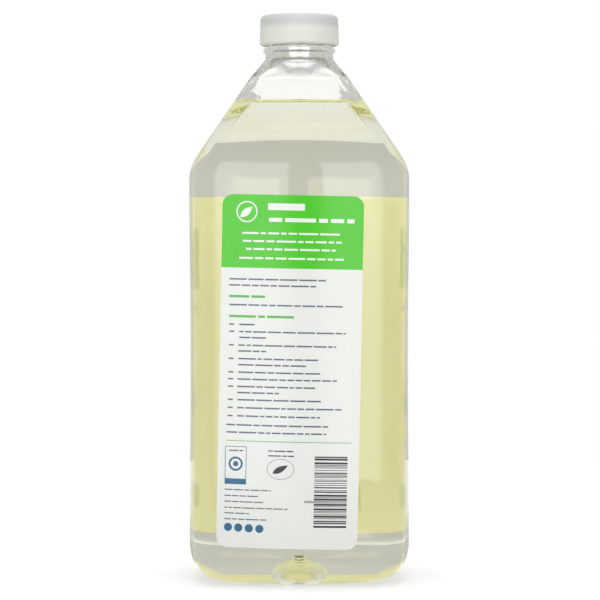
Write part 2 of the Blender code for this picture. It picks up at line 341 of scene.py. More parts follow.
def gate_finish():
    """The frosted spot where the bottle was gated."""
    made = finish_of("gate_spot")
    grain = made.noise(2500.0)
    made.surface({"Base Color": made.mix(grain, (0.42, 0.43, 0.42, 1.0), (0.55, 0.56, 0.54, 1.0)),
                  "Roughness": 0.6, "Normal": made.bump(grain, 0.4, 0.0002)})
    return made.owner


def pale_soap():
    """Clear soap that takes a little blue on its way.

    Only the faces marked 'level' bend light. Elsewhere the wetted wall does it.
    """
    made = finish_of("pale_soap")
    ripple = made.noise(90.0, 1.0)
    clear = {"Base Color": grey(1.0), "Roughness": 0.0, "Transmission Weight": 1.0}
    wetted = made.shader({**clear, "IOR": 1.0})
    open_top = made.shader({**clear, "IOR": SOAP_IOR, "Normal": made.bump(ripple, 0.15, 0.0002)})
    level = made.node("ShaderNodeAttribute", {"attribute_name": "level"}, {}, "Fac")
    surface = made.node("ShaderNodeMixShader", {}, {0: level, 1: wetted, 2: open_top})
    tint = made.node("ShaderNodeVolumeAbsorption", {}, {"Color": SOAP_TINT, "Density": SOAP_DENSITY})
    made.node("ShaderNodeOutputMaterial", {}, {"Surface": surface, "Volume": tint})
    return made.owner


def natural_cap():
    """Unpigmented polypropylene: milky and satin, with a painted cooler shade where the liner lies behind
    it and a painted glow all over.
    """
    made = finish_of("natural_cap")
    place = made.place()
    flow = made.noise(90.0, 3.0, 0.5, made.stretch(place, (1.0, 1.0, 3.0)))
    grain = made.noise(1800.0)
    lower = made.mix(flow, colour(232, 233, 225), colour(240, 241, 232))
    # Painted shade: a darker, cooler band of the cap's tone where the liner lies behind the wall
    start, end = [CAP_TOP - depth for depth in LINER_SHOWS]
    liner_shade = made.ramp(made.axis(place, "Z") + flow * LINER_WANDER, start, end)
    tone = made.mix(liner_shade, lower, colour(214, 218, 214))
    # Painted glow: the cap gives off light in its own tone, so it also glows less in the liner's painted
    # shade
    made.surface({"Base Color": tone, "Roughness": 0.32 + grain * 0.08, "IOR": 1.49,
                  "Transmission Weight": 0.30, "Subsurface Weight": 0.6,
                  "Subsurface Radius": (0.004, 0.004, 0.0035), "Subsurface Scale": 1.0,
                  "Emission Color": tone, "Emission Strength": CAP_PAINTED_GLOW,
                  "Normal": made.bump(flow * 0.8 + grain * 0.05, 0.25, 0.0003)})
    return made.owner


def liner_foam():
    """Fine closed foam."""
    made = finish_of("liner_foam")
    cells = made.node("ShaderNodeTexVoronoi", {}, {"Vector": made.place(), "Scale": 3500.0}, "Distance")
    made.surface({"Base Color": made.mix(cells, colour(238, 238, 234), colour(214, 214, 208)),
                  "Roughness": 0.8, "Normal": made.bump(cells, 0.5, 0.0001)})
    return made.owner


def film(name, tone, depth, roughness, glow=0.0):
    """Plastic film with a faint orange peel. depth says how far light soaks through it, in metres, and glow
    is a painted glow that the film gives off in its own tone.
    """
    made = finish_of(name)
    peel = made.noise(900.0)
    shade = made.noise(40.0)
    made.surface({"Base Color": made.mix(shade, tone, darkened(tone, 0.03)), "Roughness": roughness,
                  "Subsurface Weight": 1.0, "Subsurface Radius": (1.0, 1.0, 1.0),
                  "Subsurface Scale": depth, "Normal": made.bump(peel, 0.12, 0.00005),
                  "Emission Color": tone, "Emission Strength": glow})
    return made.owner


def ink(name, tone, spread=0.08, cover=1.0):
    """Flat printing ink with a slightly uneven lay. cover is how much of the light it stops."""
    made = finish_of(name)
    lay = made.noise(700.0, 3.0, 0.6)
    made.surface({"Base Color": made.mix(lay, tone, darkened(tone, spread)), "Roughness": 0.20,
                  "Alpha": cover, "Normal": made.bump(lay, 0.05, 0.00003)})
    return made.owner


# Shape of the blown body, with the formulas of the solids

def steps_between(start, end, count):
    """Evenly spaced values after start, up to and including end."""
    return [start + (end - start) * step / count for step in range(1, count + 1)]


def quarter_outline(half_width, half_depth, corner):
    """From the middle of the +X side, round one corner, to the middle of the +Y side."""
    shares = steps_between(0.0, 1.0, HALF_FACE_STEPS)
    points = [(half_width, 0.0)]
    points += [(half_width, (half_depth - corner) * share) for share in shares]
    for step in range(1, CORNER_STEPS):
        turn = math.radians(90) * step / CORNER_STEPS
        points.append((half_width - corner + corner * math.cos(turn),
                       half_depth - corner + corner * math.sin(turn)))
    points += [((half_width - corner) * share, half_depth) for share in reversed(shares)]
    points.append((0.0, half_depth))
    return points


def ring(height, half_width, half_depth, corner, squareness=1.0, facet=math.inf):
    """One closed outline: squareness 0 is a circle, 1 the bowed rectangle with round corners.

    Each corner is cut off flat where x and y together pass the facet's reach.
    """
    quarter = []
    for step, (x, y) in enumerate(quarter_outline(half_width, half_depth, corner)):
        turn = math.radians(90) * step / QUARTER_STEPS
        bowed_x = x - x / half_width * y * y / (2 * SIDE_BOW_RADIUS)
        bowed_y = y - y / half_depth * x * x / (2 * FACE_BOW_RADIUS)
        along_x = squareness * bowed_x + (1 - squareness) * half_width * math.cos(turn)
        along_y = squareness * bowed_y + (1 - squareness) * half_depth * math.sin(turn)
        excess = max(0.0, along_x + along_y - facet)
        quarter.append((along_x - excess / 2, along_y - excess / 2))
    half = quarter[:-1] + [(-x, y) for x, y in reversed(quarter)]
    whole = half[:-1] + [(x, -y) for x, y in reversed(half)]
    return [(x, y, height) for x, y in whole[:-1]]


def round_ring(height, radius):
    return ring(height, radius, radius, radius, 0.0)


def half_size(height, body_half):
    """Half of the width or depth of the outside, from the top of the heel to the neck."""
    slope = (body_half - NECK_RADIUS) / SLOPE_RUN
    if height <= PANEL_TOP:
        share = (height - HEEL_RADIUS) / (PANEL_TOP - HEEL_RADIUS)
        return body_half - WAIST_DEPTH * math.sin(math.pi * share) ** 2
    if height < SHOULDER_HEIGHT + SHOULDER_BLEND:
        return body_half - slope * (height - PANEL_TOP) ** 2 / (4 * SHOULDER_BLEND)
    if height <= CROWN_BASE:
        return body_half - slope * (height - SHOULDER_HEIGHT)
    if height > NECK_HEIGHT - NECK_FILLET:
        short = NECK_HEIGHT + NECK_FILLET - height
        return NECK_RADIUS + CROWN_FLARE * slope * short ** 2 / (4 * NECK_FILLET)
    below = NECK_HEIGHT - height
    easing = (CROWN_FLARE - 1) * slope * below ** 2 / (2 * CROWN_HEIGHT)
    return NECK_RADIUS + CROWN_FLARE * slope * below - easing


def base_rings(inset, nub):
    """From the gate out over the dome and the shallow shelf around it to the standing land."""
    land = (BODY_WIDTH / 2 - HEEL_RADIUS - LAND_WIDTH, BODY_DEPTH / 2 - HEEL_RADIUS - LAND_WIDTH,
            HEEL_CORNER_RADIUS - LAND_WIDTH)
    shelf = inset + PUSH_UP_SHELF
    top = shelf + PUSH_UP_DOME
    rings = [round_ring(top - nub * rise, GATE_RADIUS * share) for share, rise in GATE_PROFILE]
    start = math.asin(GATE_RADIUS / DOME_RADIUS)
    for step in range(DOME_STEPS):
        turn = start + (math.radians(90) - start) * step / DOME_STEPS
        rings.append(round_ring(shelf + PUSH_UP_DOME * math.cos(turn) ** DOME_FLATNESS,
                                DOME_RADIUS * math.sin(turn)))
    for share in steps_between(0.0, 1.0, PUSH_UP_STEPS):
        half_width, half_depth, corner = [DOME_RADIUS + (size - DOME_RADIUS) * share for size in land]
        height = inset + PUSH_UP_SHELF * math.cos(math.pi / 2 * share) ** 2
        rings.append(ring(height, half_width, half_depth, corner, share))
    return rings


def heel_rings(inset):
    """The rounded edge between the standing land and the upright sides."""
    radius = HEEL_RADIUS - inset
    rings = []
    for step in range(HEEL_STEPS):
        share = step / HEEL_STEPS
        turn = math.radians(90) * share
        pull = inset + radius * (1 - math.sin(turn))
        corner = HEEL_CORNER_RADIUS + (CORNER_RADIUS - HEEL_CORNER_RADIUS) * share - inset
        rings.append(ring(HEEL_RADIUS - radius * math.cos(turn),
                          BODY_WIDTH / 2 - pull, BODY_DEPTH / 2 - pull, corner))
    return rings


def facet_reach(height, inset):
    """How far out the flat facet on each corner of the shoulder lies, as x and y together."""
    halves = (BODY_WIDTH + BODY_DEPTH) / 2
    slope = (halves - 2 * NECK_RADIUS) / SLOPE_RUN
    share = min(1.0, max(0.0, (height - FACET_FADE) / (CROWN_BASE - FACET_FADE)))
    cut = FACET_CUT * (1 - share * share * (3 - 2 * share))
    return halves - cut - slope * (height - SHOULDER_HEIGHT) - inset * math.sqrt(2)


def body_ring(height, inset):
    """A cross-section of the sides or the shoulder, below the crown."""
    rise = max(0.0, (height - SHOULDER_HEIGHT) / (CROWN_BASE - SHOULDER_HEIGHT))
    corner = CORNER_RADIUS + (CROWN_CORNER_RADIUS - CORNER_RADIUS) * rise
    return ring(height,
                half_size(height, BODY_WIDTH / 2) - inset,
                half_size(height, BODY_DEPTH / 2) - inset,
                corner - inset, facet=facet_reach(height, inset))


def body_heights():
    heights = [HEEL_RADIUS]
    heights += steps_between(HEEL_RADIUS, PANEL_TOP, PANEL_STEPS)
    heights += steps_between(PANEL_TOP, SHOULDER_HEIGHT + SHOULDER_BLEND, BLEND_STEPS)
    heights += steps_between(SHOULDER_HEIGHT + SHOULDER_BLEND, CROWN_BASE, SLOPE_STEPS)
    return heights


def crown_rings(inset, neck_inset):
    """The flare that turns the squared shoulder into the round neck, with a fillet at its top."""
    rings = []
    heights = steps_between(CROWN_BASE, NECK_HEIGHT - NECK_FILLET, CROWN_STEPS)
    heights += steps_between(NECK_HEIGHT - NECK_FILLET, NECK_HEIGHT + NECK_FILLET, ROUND_STEPS)
    for height in heights:
        share = (height - CROWN_BASE) / (NECK_HEIGHT + NECK_FILLET - CROWN_BASE)
        wall = inset + (neck_inset - inset) * share
        corner = CROWN_CORNER_RADIUS + (NECK_RADIUS - CROWN_CORNER_RADIUS) * share - wall
        rings.append(ring(height,
                          half_size(height, BODY_WIDTH / 2) - wall,
                          half_size(height, BODY_DEPTH / 2) - wall,
                          corner, 1 - share ** 2))
    return rings


def turned_rings(points):
    """Round rings up a profile of (radius, height, rounding).

    Each corner is rounded over so much of the two edges that meet there.
    """
    soft = [Vector(points[0][:2])]
    for before, point, after in zip(points, points[1:], points[2:]):
        corner = Vector(point[:2])
        into = (Vector(before[:2]) - corner).normalized() * point[2]
        out = (Vector(after[:2]) - corner).normalized() * point[2]
        for step in range(ROUND_STEPS + 1):
            share = step / ROUND_STEPS
            soft.append(corner + into * (1 - share) ** 2 + out * share ** 2)
    soft.append(Vector(points[-1][:2]))
    return [round_ring(place.y, place.x) for place in soft]


def thread_height(turned, height, base, turns, foot, crest):
    """How much of its full rise a thread has at one place on a wall, from 0 to 1."""
    most = 0.0
    for lap in range(int(turns) + 2):
        along = turned + lap
        if along > turns:
            break
        away = abs(height - base - THREAD_PITCH * along)
        flank = (foot / 2 - away) / ((foot - crest) / 2)
        fade = min(1.0, along / THREAD_FADE, (turns - along) / THREAD_FADE)
        most = max(most, min(1.0, max(0.0, flank)) * max(0.0, fade))
    return most


def threaded_ring(height, radius, rise, base, turns, foot, crest, start_turn=0.0):
    """A circle with the thread's height added to its radius."""
    points = []
    for step in range(RING_STEPS):
        share = step / RING_STEPS
        turned = (share - start_turn) % 1.0
        reach = radius + rise * thread_height(turned, height, base, turns, foot, crest)
        angle = 2 * math.pi * share
        points.append((reach * math.cos(angle), reach * math.sin(angle), height))
    return points


# Meshes

def piece(name, points, faces, materials, bands=None):
    """A smooth-shaded mesh object. bands gives each face's material."""
    mesh = bpy.data.meshes.new(name)
    mesh.from_pydata(points, [], faces)
    for material in materials:
        mesh.materials.append(material)
    if bands:
        mesh.polygons.foreach_set("material_index", bands)
    mesh.update()
    mesh.shade_smooth()
    thing = bpy.data.objects.new(name, mesh)
    bpy.context.scene.collection.objects.link(thing)
    return thing


def skinned(name, rings, materials, material_of=lambda band: 0):
    """A closed skin over rings in order. material_of gives the material of each band between two rings."""
    points = [point for outline in rings for point in outline]
    faces = [list(range(RING_STEPS))[::-1]]
    bands = [material_of(0)]
    for index in range(len(rings) - 1):
        start = index * RING_STEPS
        for step in range(RING_STEPS):
            a = start + step
            b = start + (step + 1) % RING_STEPS
            faces.append((a, b, b + RING_STEPS, a + RING_STEPS))
            bands.append(material_of(index))
    last = (len(rings) - 1) * RING_STEPS
    faces.append(list(range(last, last + RING_STEPS)))
    bands.append(material_of(len(rings) - 2))
    return piece(name, points, faces, materials, bands)


def finish_rings():
    """Up the outside of the neck, over its ring and thread, and over the rim to the bore."""
    rings = turned_rings([(NECK_RADIUS, NECK_HEIGHT + NECK_FILLET, 0),
                          (NECK_RADIUS, RING_BASE, 0.0003),
                          (RING_RADIUS, RING_BASE, 0.0004),
                          (RING_RADIUS, RING_TOP, 0.0004),
                          (FINISH_RADIUS, RING_TOP, 0.0005),
                          (FINISH_RADIUS, THREAD_BASE - THREAD_FOOT / 2, 0)])[1:]
    for height in steps_between(THREAD_BASE - THREAD_FOOT / 2, THREAD_TOP, FINISH_STEPS)[:-1]:
        rings.append(threaded_ring(height, FINISH_RADIUS, THREAD_RISE, THREAD_BASE, THREAD_TURNS,
                                   THREAD_FOOT, THREAD_CREST))
    return rings + turned_rings([(FINISH_RADIUS, THREAD_TOP, 0),
                                 (FINISH_RADIUS, RIM_HEIGHT, 0.0005),
                                 (BORE_RADIUS, RIM_HEIGHT, 0.0005),
                                 (BORE_RADIUS, NECK_HEIGHT + 2 * NECK_FILLET, 0)])


def make_bottle():
    """The blown shell. Where soap wets its inner wall, the wall bends light as plastic against soap."""
    outside = base_rings(0.0, GATE_NUB) + heel_rings(0.0)
    outside += [body_ring(height, 0.0) for height in body_heights()] + crown_rings(0.0, 0.0)
    outside += finish_rings()
    wet_top = wet_line()
    inside = base_rings(WALL, 0.0) + heel_rings(WALL)
    inside += [body_ring(height, WALL) for height in sorted(body_heights() + [wet_top])]
    inside += crown_rings(WALL, NECK_RADIUS - BORE_RADIUS)
    rings = outside + inside[::-1]
    gate_bands = len(GATE_PROFILE)

    def material_of(band):
        if band < gate_bands or band >= len(rings) - 1 - gate_bands:
            return 2
        wetted = band >= len(outside) and rings[band][0][2] <= wet_top + LEVEL_SLACK
        return int(wetted)

    wet_wall = clear_plastic("wetted_inner_wall", PET_IOR / SOAP_IOR, 0.1)
    finishes = [clear_plastic("clear_bottle", PET_IOR), wet_wall, gate_finish()]
    shell = skinned("bottle_shell", rings, finishes, material_of)
    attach(shell, "bottle")
    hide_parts("bottle")


def meniscus():
    """The soap's surface where it climbs the wall: how far from the wall, and how high above the level."""
    steepest, gentlest = [math.tan(math.radians(lean)) for lean in MENISCUS_LEAN_DEG]
    away = 0.0
    curve = [(0.0, MENISCUS_RISE)]
    fall = (MENISCUS_RISE - MENISCUS_FOOT) / MENISCUS_STEPS
    for step in range(MENISCUS_STEPS):
        share = (step + 0.5) / MENISCUS_STEPS
        away += fall / (steepest + (gentlest - steepest) * share)
        curve.append((away, MENISCUS_RISE - fall * (step + 1)))
    curve.append((away + 3 * MENISCUS_FOOT / gentlest, 0.0))
    return curve


def wet_line():
    """The height up to which soap wets the wall."""
    return FILL_HEIGHT + MENISCUS_RISE


def make_soap():
    """The soap, with a curved rim where it climbs the wall."""
    inset = WALL + SOAP_GAP
    rings = base_rings(inset, 0.0) + heel_rings(inset)
    rings += [body_ring(height, inset) for height in body_heights() if height < wet_line()]
    top_start = len(rings)
    for away, rise in meniscus():
        rings.append([(x, y, FILL_HEIGHT + rise) for x, y, height in body_ring(wet_line(), inset + away)])
    rim_foot = rings[-1]
    for share in LEVEL_RINGS:
        rings.append([(x * share, y * share, FILL_HEIGHT) for x, y, height in rim_foot])
    soap = skinned("soap_body", rings, [pale_soap()], lambda band: int(band >= top_start))
    marks = soap.data.attributes.new("level", 'FLOAT', 'FACE')
    for face, mark in zip(soap.data.polygons, marks.data):
        mark.value = float(face.material_index)
        face.material_index = 0
    soap.data.set_sharp_from_angle(angle=math.radians(SHARP_SOAP_EDGE_DEG))
    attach(soap, "bottle")
    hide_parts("soap")


def make_cap():
    """The smooth cap with its thread inside."""
    panel_base = CAP_TOP - CAP_PANEL
    low = CAP_BASE + CAP_THREAD_LIFT
    start = (low + CAP_THREAD_SPACING - THREAD_BASE) / THREAD_PITCH
    thread_low = low - CAP_THREAD_FOOT / 2
    thread_high = low + THREAD_PITCH * CAP_THREAD_TURNS + CAP_THREAD_FOOT / 2
    rings = turned_rings([(CAP_MIDDLE, panel_base, 0),
                          (CAP_BORE_RADIUS, panel_base, 0.0004),
                          (CAP_BORE_RADIUS, thread_high, 0)])
    for height in steps_between(thread_high, thread_low, FINISH_STEPS):
        rings.append(threaded_ring(height, CAP_BORE_RADIUS, -CAP_THREAD_DEPTH, low, CAP_THREAD_TURNS,
                                   CAP_THREAD_FOOT, CAP_THREAD_CREST, start))
    rings += turned_rings([(CAP_BORE_RADIUS, thread_low - CAP_THREAD_RUNOUT, 0),
                           (CAP_BORE_RADIUS, CAP_BASE, 0.0003),
                           (CAP_RADIUS, CAP_BASE, CAP_FOOT_ROUND),
                           (CAP_RADIUS - CAP_DRAFT, CAP_TOP, CAP_TOP_ROUND),
                           (CAP_MIDDLE, CAP_TOP, 0)])
    cap = skinned("cap_shell", rings, [natural_cap()])
    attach(cap, "cap")
    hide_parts("cap")


def dress_liner():
    """The liner's solid has the right shape, so it only gets its foam."""
    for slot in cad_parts["cap_liner"].material_slots:
        slot.material = liner_foam()


# Labels and their print, in millimetres right of the label's left edge and down from its top

MM = 0.001
GRID_PITCH = 2.5


class LabelFace:
    """A label on the front or back face of the bottle."""

    def __init__(self, side, left_margin, right_margin, tilt_deg):
        pull = (BODY_DEPTH / 2) ** 2 / (2 * SIDE_BOW_RADIUS * BODY_WIDTH / 2)
        face_half = (BODY_WIDTH / 2 - CORNER_RADIUS) * (1 - pull)
        height = PANEL_TOP - LABEL_HEAD_MARGIN - HEEL_RADIUS - LABEL_FOOT_MARGIN
        self.side = side
        self.width = (2 * face_half - left_margin - right_margin) / MM
        self.height = height / MM
        self.middle_x = -side * (left_margin - right_margin) / 2
        self.middle_z = HEEL_RADIUS + LABEL_FOOT_MARGIN + height / 2
        self.tilt = math.radians(tilt_deg)

    def point(self, right, down, lift):
        """A place on the label, lifted so many metres off the bottle."""
        u = (right - self.width / 2) * MM
        v = (self.height / 2 - down) * MM
        x = self.middle_x - self.side * (u * math.cos(self.tilt) + v * math.sin(self.tilt))
        z = self.middle_z + v * math.cos(self.tilt) - u * math.sin(self.tilt)
        half_width = half_size(z, BODY_WIDTH / 2)
        half_depth = half_size(z, BODY_DEPTH / 2)
        straight = x / (1 - half_depth ** 2 / (2 * SIDE_BOW_RADIUS * half_width))
        return (x, self.side * (half_depth - straight ** 2 / (2 * FACE_BOW_RADIUS) + lift), z)

    def rows(self, bottom, round_foot):
        """Rows of (right, down) places over the label's full width, from its round head to bottom."""
        radius = LABEL_CORNER_RADIUS / MM
        turns = [math.radians(90) * step / LABEL_CORNER_STEPS for step in range(LABEL_CORNER_STEPS + 1)]
        corner = [(radius * (1 - math.sin(turn)), radius * (1 - math.cos(turn))) for turn in turns]
        end = bottom - radius if round_foot else bottom
        count = round((end - radius) / GRID_PITCH)
        lines = corner[::-1] + [(down, 0.0) for down in steps_between(radius, end, count)]
        if round_foot:
            lines += [(bottom - rise, pull) for rise, pull in corner[1:]]
        shares = [2 * column / LABEL_COLUMNS - 1 for column in range(LABEL_COLUMNS + 1)]
        return [[(self.width / 2 + (self.width / 2 - pull) * share, down) for share in shares]
                for down, pull in lines]


BACK = LabelFace(-1, BACK_LEFT_MARGIN, BACK_RIGHT_MARGIN, BACK_TILT_DEG)
FRONT = LabelFace(1, FRONT_MARGIN, FRONT_MARGIN, 0.0)


def make_film(name, face, node, finishes):
    """The film itself: a thin closed sheet with round corners, and a finish for its face and its back."""
    rows = face.rows(face.height, True)
    points = [face.point(right, down, lift) for lift in (FILM_FACE, FILM_BACK)
              for row in rows for right, down in row]
    across = len(rows[0])
    sheet = len(rows) * across
    faces = []
    bands = []
    for row in range(len(rows) - 1):
        for column in range(across - 1):
            a = row * across + column
            b = a + across
            faces += [(a, b, b + 1, a + 1), (sheet + a, sheet + a + 1, sheet + b + 1, sheet + b)]
            bands += [0, 1]
    edge = list(range(across))
    edge += [row * across + across - 1 for row in range(1, len(rows) - 1)]
    edge += [(len(rows) - 1) * across + column for column in reversed(range(across))]
    edge += [row * across for row in reversed(range(1, len(rows) - 1))]
    for a, b in zip(edge, edge[1:] + edge[:1]):
        faces.append((a, b, b + sheet, a + sheet))
        bands.append(0)
    sheet_piece = piece(name, points, faces, finishes, bands)
    sheet_piece.data.set_sharp_from_angle(angle=math.radians(SHARP_FILM_EDGE_DEG))
    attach(sheet_piece, "bottle")
    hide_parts(node)


# Plain dashes stand for words: widths as shares of the line's size, and lengths in letters
LETTER_WIDTH = 0.72
WORD_GAP = 0.5
SHORTEST_WORD = 0.6
WORD_LETTERS = (2, 3, 3, 4, 5, 6, 7, 8)

STRIPE_WIDTHS = (0.24, 0.24, 0.48, 0.72)
STRIPE_GAPS = (0.26, 0.26, 0.52, 0.7)
SHORTEST_STRIPE = 0.3
OVAL_STEPS = 40
OVAL_HOLE = 0.01
LEAF_STEPS = 16
LEAF_TIP = 0.02
LEAF_LEAN = 0.85


class Print:
    """All the shapes printed in one ink on one label, as one piece. Sizes are millimetres too."""

    def __init__(self, face, layer=1):
        self.face = face
        self.lift = FILM_FACE + layer * INK_LIFT
        self.points = []
        self.faces = []

    def grid(self, rows):
        """Rows of (right, down) places, joined into a sheet."""
        start = len(self.points)
        across = len(rows[0])
        for row in rows:
            self.points += [self.face.point(right, down, self.lift) for right, down in row]
        for row in range(len(rows) - 1):
            for column in range(across - 1):
                a = start + row * across + column
                self.faces.append((a, a + across, a + across + 1, a + 1))

    def bar(self, left, right, top, bottom):
        """A plain rectangle, cut finely enough to follow the bowed face."""
        columns = max(1, round((right - left) / GRID_PITCH))
        count = max(1, round((bottom - top) / GRID_PITCH))
        downs = [top] + steps_between(top, bottom, count)
        rights = [left] + steps_between(left, right, columns)
        self.grid([[(place, down) for place in rights] for down in downs])

    def oval(self, right, down, half_width, half_height, thickness=None):
        """A disc, or a ring of the given thickness."""
        def line(x_radius, y_radius):
            turns = [2 * math.pi * step / OVAL_STEPS for step in range(OVAL_STEPS)]
            return [(right + x_radius * math.cos(turn), down + y_radius * math.sin(turn)) for turn in turns]
        if thickness:
            inner = line(half_width - thickness, half_height - thickness)
        else:
            inner = line(OVAL_HOLE, OVAL_HOLE)
        rows = [list(pair) for pair in zip(inner, line(half_width, half_height))]
        self.grid(rows + rows[:1])

    def frame(self, left, right, top, bottom, thickness):
        """The four sides of a rectangle."""
        self.bar(left, right, top, top + thickness)
        self.bar(left, right, bottom - thickness, bottom)
        self.bar(left, left + thickness, top + thickness, bottom - thickness)
        self.bar(right - thickness, right, top + thickness, bottom - thickness)

    def lines(self, rows, size, rng, weight=0.5):
        """Lines of plain dashes. A row is the middle of its line down, then its left and right ends."""
        for down, left, right in rows:
            place = left
            while place < right - size * SHORTEST_WORD:
                end = min(right, place + size * LETTER_WIDTH * rng.choice(WORD_LETTERS))
                self.bar(place, end, down - size * weight / 2, down + size * weight / 2)
                place = end + size * WORD_GAP

    def stripes(self, left, right, top, bottom, long_left, long_span, rng):
        """Bars of mixed height down a block. Those that start in the long span reach further left."""
        place = top
        while place < bottom - SHORTEST_STRIPE:
            width = rng.choice(STRIPE_WIDTHS)
            gap = rng.choice(STRIPE_GAPS)
            end = min(place + width, bottom)
            reach = long_left if long_span[0] < place < long_span[1] else left
            self.bar(reach, right, place, end)
            place = end + gap

    def leaf(self, right, down, length, width, turn_deg):
        """A pointed leaf from its stalk end."""
        turn = math.radians(turn_deg)
        rows = []
        for sign in (-1, 1):
            row = []
            for step in range(LEAF_STEPS + 1):
                share = step / LEAF_STEPS
                along = length * share
                off = sign * max(LEAF_TIP, width / 2 * math.sin(math.pi * share ** LEAF_LEAN))
                row.append((right + along * math.cos(turn) - off * math.sin(turn),
                            down - along * math.sin(turn) - off * math.cos(turn)))
            rows.append(row)
        self.grid([list(pair) for pair in zip(*rows)])

    def done(self, name, finish):
        """Make the piece, which lies on the label's film."""
        printed = piece(name, self.points, self.faces, [finish])
        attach(printed, "bottle")


# Sizes of the lines of print
TITLE = 3.2
SUBTITLE = 2.3
BOLD = 1.75
MEDIUM = 1.45
SMALL = 1.15
TINY = 0.85
TINIEST = 0.8

# Lines of the back label: the middle of the line down, then its left and right ends
HEADER_HEIGHT = 27.6
TITLE_LINE = (4.5, 17.2, 31.9)
SUBTITLE_LINE = (9.4, 17.6, 49.8)
HEADER_LINES = [(14.5, 7.6, 45.5), (17.5, 8.0, 45.2), (20.5, 9.2, 43.0), (23.9, 6.7, 46.1)]
TEXT_LINES = [(31.9, 3.1, 39.5), (34.2, 3.1, 35.8), (41.6, 3.3, 47.2),
              (49.0, 7.2, 13.2), (51.7, 7.2, 47.4), (53.9, 7.3, 17.4),
              (56.8, 7.0, 43.8), (59.0, 7.0, 17.5), (61.9, 7.1, 37.1), (64.2, 7.1, 32.6),
              (67.0, 7.1, 38.0), (69.6, 6.9, 44.8), (72.4, 6.9, 36.2), (74.7, 6.9, 23.8),
              (77.4, 7.0, 38.5), (80.4, 7.0, 47.2), (83.5, 7.1, 38.3), (86.9, 3.0, 41.4)]
LIST_MARKS = [(down, 3.4, 5.3)
              for down in (49.0, 51.7, 56.8, 61.9, 67.0, 69.6, 72.4, 77.4, 80.4, 83.5)]
LAST_LINE = (89.7, 3.1, 40.7)
SMALL_LINES = [(111.4, 2.8, 20.4), (113.7, 2.8, 15.6), (115.9, 2.9, 17.5), (118.2, 2.9, 26.8),
               (120.3, 3.0, 12.3), (122.5, 3.0, 19.5)]
HEADINGS = [(38.4, 3.2, 16.8), (45.9, 3.3, 28.9)]
PANEL_LINE = (96.6, 4.2, 9.6)
MARK_LINES = [(down, 19.0, 28.8) for down in (96.4, 98.2)]

# Leaves: right, down, length, width and turn. Rings: right, down, half sizes and thickness
EMBLEM_RING = (9.3, 6.5, 4.0, 4.0, 0.5)
EMBLEM_LEAF = (6.9, 8.6, 6.0, 2.6, 42)
MARK_RING = (23.8, 103.2, 5.1, 3.9, 0.14)
MARK_LEAF = (20.8, 104.8, 6.6, 2.3, 28)
DISCS = [(4.4, 125.6), (8.3, 125.7), (12.3, 125.8), (16.3, 125.9)]
DISC_RADIUS = 1.55

# Boxes of the back label: left, right, top, bottom
RULE = (3.0, 50.2, 92.78, 93.02)
PANEL = (2.8, 10.9, 95.0, 109.3)
PANEL_EDGE = 0.22
PANEL_FOOT = 2.1
TARGET_DOWN = 6.6
TARGET_RING = (2.7, 2.7, 0.75)
TARGET_DISC = (1.0, 1.0)
STRIPES = (36.6, 49.0, 98.1, 125.3)
LONG_STRIPE_LEFT = 33.0
LONG_STRIPE_SPAN = (114.8, 115.8)


def back_print():
    """Green header, lines of dashes, marks and a block of stripes, all plain shapes."""
    rng = random.Random(7)
    header = Print(BACK)
    header.grid(BACK.rows(HEADER_HEIGHT, False))
    header.done("print_header", ink("green_ink", colour(74, 202, 20), 0.03))

    pale = Print(BACK, 2)
    pale.oval(*EMBLEM_RING)
    pale.leaf(*EMBLEM_LEAF)
    pale.lines([TITLE_LINE], TITLE, rng, 0.8)
    pale.lines([SUBTITLE_LINE], SUBTITLE, rng, 0.65)
    pale.lines(HEADER_LINES, MEDIUM, rng)
    pale.done("print_pale", ink("pale_ink", colour(240, 248, 236)))

    slate = Print(BACK)
    slate.lines(TEXT_LINES + LIST_MARKS + [LAST_LINE], SMALL, rng)
    slate.lines(SMALL_LINES, TINY, rng)
    slate.done("print_text", ink("slate_ink", colour(96, 112, 124)))

    green = Print(BACK)
    green.lines(HEADINGS, BOLD, rng)
    green.bar(*RULE)
    green.done("print_headings", ink("heading_ink", colour(96, 182, 80)))

    blue = Print(BACK)
    for right, down in DISCS:
        blue.oval(right, down, DISC_RADIUS, DISC_RADIUS)
    left, right, top, bottom = PANEL
    blue.frame(*PANEL, PANEL_EDGE)
    blue.bar(left, right, bottom - PANEL_FOOT, bottom)
    for sizes in (TARGET_RING, TARGET_DISC):
        blue.oval((left + right) / 2, top + TARGET_DOWN, *sizes)
    blue.done("print_blue", ink("blue_ink", colour(44, 104, 142)))

    dark = Print(BACK)
    dark.lines([PANEL_LINE], TINIEST, rng)
    dark.lines(MARK_LINES, TINY, rng)
    dark.oval(*MARK_RING)
    dark.leaf(*MARK_LEAF)
    dark.stripes(*STRIPES, LONG_STRIPE_LEFT, LONG_STRIPE_SPAN, rng)
    dark.done("print_dark", ink("dark_ink", colour(44, 46, 50)))


# Front label: places down as shares of its height, and how far a shape reaches to both sides
FRONT_COVER = 0.6
FRONT_FIELDS = [(0.09, 0.27), (0.86, 0.93)]
FRONT_FIELD_REACH = 20
FRONT_TITLES = [(0.16, 17, 5.0), (0.23, 15, 2.4), (0.895, 12, 2.6)]
FRONT_WORDS = [(0.33, 18, 4.2), (0.39, 15, 2.4), (0.74, 16, 2.0), (0.79, 12, 2.0)]
FRONT_LEAVES_DOWN = 0.66
FRONT_LEAF = (20, 6.0)
FRONT_LEAF_TURNS_DEG = (24, 56, 90, 124, 156)


